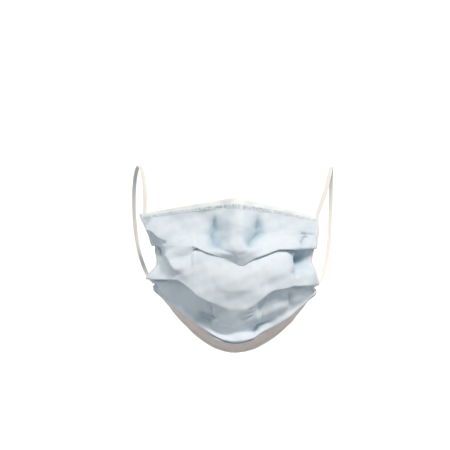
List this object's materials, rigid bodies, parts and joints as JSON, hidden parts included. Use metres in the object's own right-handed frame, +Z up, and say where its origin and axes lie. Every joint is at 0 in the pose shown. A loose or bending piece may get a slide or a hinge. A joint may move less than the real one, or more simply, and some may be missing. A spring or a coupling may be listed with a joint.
{
  "type": "surgical face mask",
  "caption": "Pleated disposable face mask in its worn form, with welded hems and side seams and an elastic band over each ear.",
  "frame": {"origin": "inner face of the top hem at its middle, where the mask sits on the bridge of the nose", "axes": "+Z up, outer face towards -Y, the wearer's face towards +Y, +X to the right of someone who looks at the outer face"},
  "size_m": [0.163, 0.1202, 0.1471],
  "materials": {
    "outer_nonwoven": "pale blue spunbond nonwoven, matt with a faint sheen",
    "hem_nonwoven": "white and pale blue spunbond nonwoven with weld dots",
    "seam_nonwoven": "white spunbond nonwoven strip, heat embossed",
    "elastic": "soft white knitted elastic"
  },
  "bodies": {
    "root": {"pleated_panel": "outer_nonwoven", "top_hem": "hem_nonwoven", "bottom_hem": "hem_nonwoven", "side_seam_left": "seam_nonwoven", "side_seam_right": "seam_nonwoven", "ear_loop_left": "elastic", "ear_loop_right": "elastic"}
  },
  "joints": []
}
